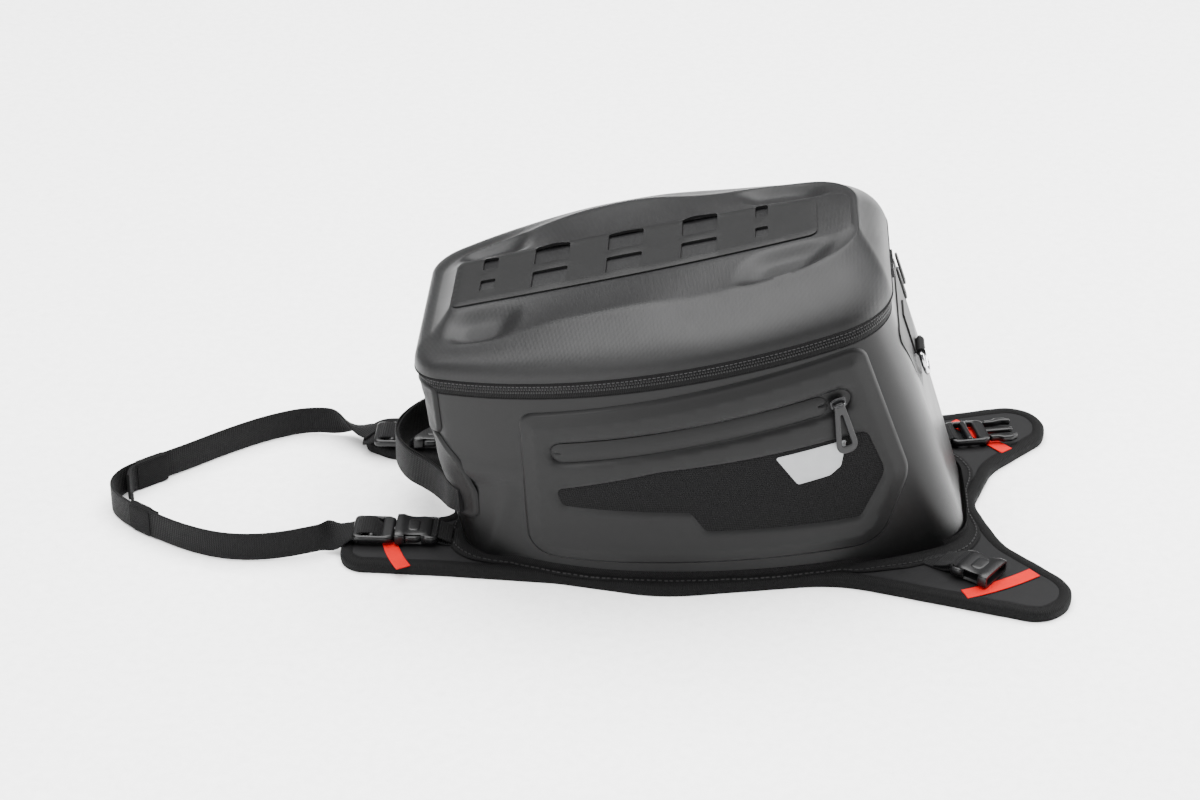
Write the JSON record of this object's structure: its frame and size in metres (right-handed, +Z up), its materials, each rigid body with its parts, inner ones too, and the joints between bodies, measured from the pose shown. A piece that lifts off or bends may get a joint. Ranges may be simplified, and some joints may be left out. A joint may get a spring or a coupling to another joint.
{
  "type": "motorcycle tank bag",
  "caption": "Strap-mounted motorcycle bag with moulded zip lid, side pockets, carry handle, buckles and a strap loop on a four-eared harness pad.",
  "frame": {"origin": "on the surface that the bag stands on, under the middle of the harness pad", "axes": "+X towards the end where the main zip opens, -X towards the strap loop and lid hinge, +Y to the bag's right, +Z up"},
  "size_m": [0.7634, 0.311, 0.2688],
  "materials": {
    "body_laminate": "smooth coated laminate, matt",
    "lid_eva": "embossed coated foam, soft sheen",
    "laser_cut_panel": "laser-cut coated sheet",
    "lining": "coated nylon lining",
    "board": "stiffener sheet",
    "piping": "bound seam",
    "pad_fabric": "embossed coated fabric over foam",
    "anti_slip": "anti-slip sheet",
    "binding_tape": "folded edge binding",
    "zip_tape": "coil zip on tape",
    "patch": "reinforcement fabric",
    "insert_weave": "coarse woven polyester",
    "reflective": "retro-reflective film",
    "red_webbing": "red ribbon",
    "black_webbing": "polyester webbing",
    "ring_metal": "plated steel wire",
    "slider_metal": "black coated zinc",
    "buckle_plastic": "moulded acetal"
  },
  "bodies": {
    "bag": {"body_shell": "body_laminate", "base_board": "board", "body_lining": "lining", "body_flange": "piping", "centre_pad": "pad_fabric", "centre_underlay": "anti_slip", "centre_binding": "binding_tape", "lower_zip_tape": "zip_tape", "lid_hinge_strip": "patch", "side_panels": "body_laminate", "pocket_inserts": "insert_weave", "reflectors": "reflective", "pocket_zip_tapes": "zip_tape", "front_patches": "patch", "rear_patch": "patch", "rear_tab": "black_webbing"},
    "lid": {"lid_shell": "lid_eva", "lid_lining": "lining", "lid_top_panel": "laser_cut_panel", "upper_zip_tape": "zip_tape"},
    "front_ears": {"front_pad": "pad_fabric", "front_underlay": "anti_slip", "front_binding": "binding_tape", "front_stripes": "red_webbing", "front_tabs": "black_webbing", "front_left_socket": "buckle_plastic", "front_left_plug": "buckle_plastic", "front_right_socket": "buckle_plastic", "front_right_plug": "buckle_plastic", "front_strap": "black_webbing"},
    "rear_left_ear": {"rear_left_pad": "pad_fabric", "rear_left_underlay": "anti_slip", "rear_left_binding": "binding_tape", "rear_left_stripe": "red_webbing", "rear_left_tab": "black_webbing"},
    "rear_right_ear": {"rear_right_pad": "pad_fabric", "rear_right_underlay": "anti_slip", "rear_right_binding": "binding_tape", "rear_right_stripe": "red_webbing", "rear_right_tab": "black_webbing"},
    "carry_handle": {"carry_handle": "black_webbing"},
    "d_ring": {"d_ring": "ring_metal"},
    "rear_socket": {"rear_left_socket": "buckle_plastic"},
    "rear_plug": {"rear_right_plug": "buckle_plastic"},
    "main_slider_left": {"main_slider_left": "slider_metal"},
    "main_puller_left": {"main_puller_left": "slider_metal"},
    "pocket_slider_left": {"pocket_slider_left": "slider_metal"},
    "pocket_puller_left": {"pocket_puller_left": "slider_metal"},
    "front_left_outer_arm": {"front_left_outer_arm": "buckle_plastic"},
    "front_left_inner_arm": {"front_left_inner_arm": "buckle_plastic"},
    "main_slider_right": {"main_slider_right": "slider_metal"},
    "main_puller_right": {"main_puller_right": "slider_metal"},
    "pocket_slider_right": {"pocket_slider_right": "slider_metal"},
    "pocket_puller_right": {"pocket_puller_right": "slider_metal"},
    "front_right_outer_arm": {"front_right_outer_arm": "buckle_plastic"},
    "front_right_inner_arm": {"front_right_inner_arm": "buckle_plastic"},
    "rear_right_outer_arm": {"rear_right_outer_arm": "buckle_plastic"},
    "rear_right_inner_arm": {"rear_right_inner_arm": "buckle_plastic"}
  },
  "joints": [
    {"name": "lid_hinge", "type": "hinge", "parent": "bag", "child": "lid", "pos_m": [-0.22134, 0, 0.1568], "axis": [0, -1, 0], "range_deg": [0, 100]},
    {"name": "main_slider_left_slide", "type": "slide", "parent": "bag", "child": "main_slider_left", "axis": [0, -1, 0], "range_m": [0, 0.038]},
    {"name": "main_puller_left_swing", "type": "hinge", "parent": "main_slider_left", "child": "main_puller_left", "pos_m": [0.1442, -0.012, 0.22551], "axis": [0, -1, 0], "range_deg": [0, 110]},
    {"name": "pocket_slider_left_run", "type": "hinge", "parent": "bag", "child": "pocket_slider_left", "pos_m": [-0.03589, 0.28007, 0.13782], "axis": [0.202, 0, -0.9794], "range_deg": [0, 27.8]},
    {"name": "pocket_puller_left_swing", "type": "hinge", "parent": "pocket_slider_left", "child": "pocket_puller_left", "pos_m": [0.1, -0.11766, 0.16488], "axis": [-0.921, -0.3212, -0.2203], "range_deg": [0, 110]},
    {"name": "main_slider_right_slide", "type": "slide", "parent": "bag", "child": "main_slider_right", "axis": [0, 1, 0], "range_m": [0, 0.038]},
    {"name": "main_puller_right_swing", "type": "hinge", "parent": "main_slider_right", "child": "main_puller_right", "pos_m": [0.1442, 0.012, 0.22551], "axis": [0, -1, 0], "range_deg": [0, 110]},
    {"name": "pocket_slider_right_run", "type": "hinge", "parent": "bag", "child": "pocket_slider_right", "pos_m": [-0.03589, -0.28007, 0.13782], "axis": [-0.202, 0, 0.9794], "range_deg": [0, 27.8]},
    {"name": "pocket_puller_right_swing", "type": "hinge", "parent": "pocket_slider_right", "child": "pocket_puller_right", "pos_m": [0.1, 0.11766, 0.16488], "axis": [0.921, -0.3212, 0.2203], "range_deg": [0, 110]},
    {"name": "carry_handle_swing", "type": "hinge", "parent": "bag", "child": "carry_handle", "pos_m": [-0.204, 0, 0.056], "axis": [0, 1, 0], "range_deg": [-30, 35]},
    {"name": "d_ring_swing", "type": "hinge", "parent": "bag", "child": "d_ring", "pos_m": [0.16662, 0, 0.1519], "axis": [0, -1, 0], "range_deg": [0, 110]},
    {"name": "front_ears_fold", "type": "hinge", "parent": "bag", "child": "front_ears", "pos_m": [-0.2035, 0, 0.0045], "axis": [0, 1, 0], "range_deg": [-35, 40]},
    {"name": "rear_left_ear_fold", "type": "hinge", "parent": "bag", "child": "rear_left_ear", "pos_m": [0.14213, -0.14213, 0.0045], "axis": [-0.7071, -0.7071, 0], "range_deg": [-40, 45]},
    {"name": "rear_right_ear_fold", "type": "hinge", "parent": "bag", "child": "rear_right_ear", "pos_m": [0.14213, 0.14213, 0.0045], "axis": [0.7071, -0.7071, 0], "range_deg": [-40, 45]},
    {"name": "rear_socket_swing", "type": "hinge", "parent": "rear_left_ear", "child": "rear_socket", "pos_m": [0.19878, -0.09654, 0.0107], "axis": [-0.5577, -0.83, 0], "range_deg": [0, 55]},
    {"name": "rear_plug_swing", "type": "hinge", "parent": "rear_right_ear", "child": "rear_plug", "pos_m": [0.20174, 0.09793, 0.0111], "axis": [0.2079, -0.9781, 0], "range_deg": [0, 55]},
    {"name": "front_left_outer_arm_press", "type": "hinge", "parent": "front_ears", "child": "front_left_outer_arm", "pos_m": [-0.2427, -0.0848, 0.016], "axis": [0, 0, 1], "range_deg": [0, 5], "stiffness_Nm_per_rad": 0.05},
    {"name": "front_left_inner_arm_press", "type": "hinge", "parent": "front_ears", "child": "front_left_inner_arm", "pos_m": [-0.2427, -0.0622, 0.016], "axis": [0, 0, -1], "range_deg": [0, 5], "stiffness_Nm_per_rad": 0.05},
    {"name": "front_right_outer_arm_press", "type": "hinge", "parent": "front_ears", "child": "front_right_outer_arm", "pos_m": [-0.2427, 0.0848, 0.016], "axis": [0, 0, -1], "range_deg": [0, 5], "stiffness_Nm_per_rad": 0.05},
    {"name": "front_right_inner_arm_press", "type": "hinge", "parent": "front_ears", "child": "front_right_inner_arm", "pos_m": [-0.2427, 0.0622, 0.016], "axis": [0, 0, 1], "range_deg": [0, 5], "stiffness_Nm_per_rad": 0.05},
    {"name": "rear_right_outer_arm_press", "type": "hinge", "parent": "rear_plug", "child": "rear_right_outer_arm", "pos_m": [0.23197, 0.11591, 0.0146], "axis": [0, 0, -1], "range_deg": [0, 5], "stiffness_Nm_per_rad": 0.05},
    {"name": "rear_right_inner_arm_press", "type": "hinge", "parent": "rear_plug", "child": "rear_right_inner_arm", "pos_m": [0.23666, 0.0938, 0.0146], "axis": [0, 0, 1], "range_deg": [0, 5], "stiffness_Nm_per_rad": 0.05}
  ],
  "couplings": [
    {"joint": "front_left_inner_arm_press", "follows": "front_left_outer_arm_press", "ratio": 1},
    {"joint": "front_right_inner_arm_press", "follows": "front_right_outer_arm_press", "ratio": 1},
    {"joint": "rear_right_inner_arm_press", "follows": "rear_right_outer_arm_press", "ratio": 1}
  ]
}
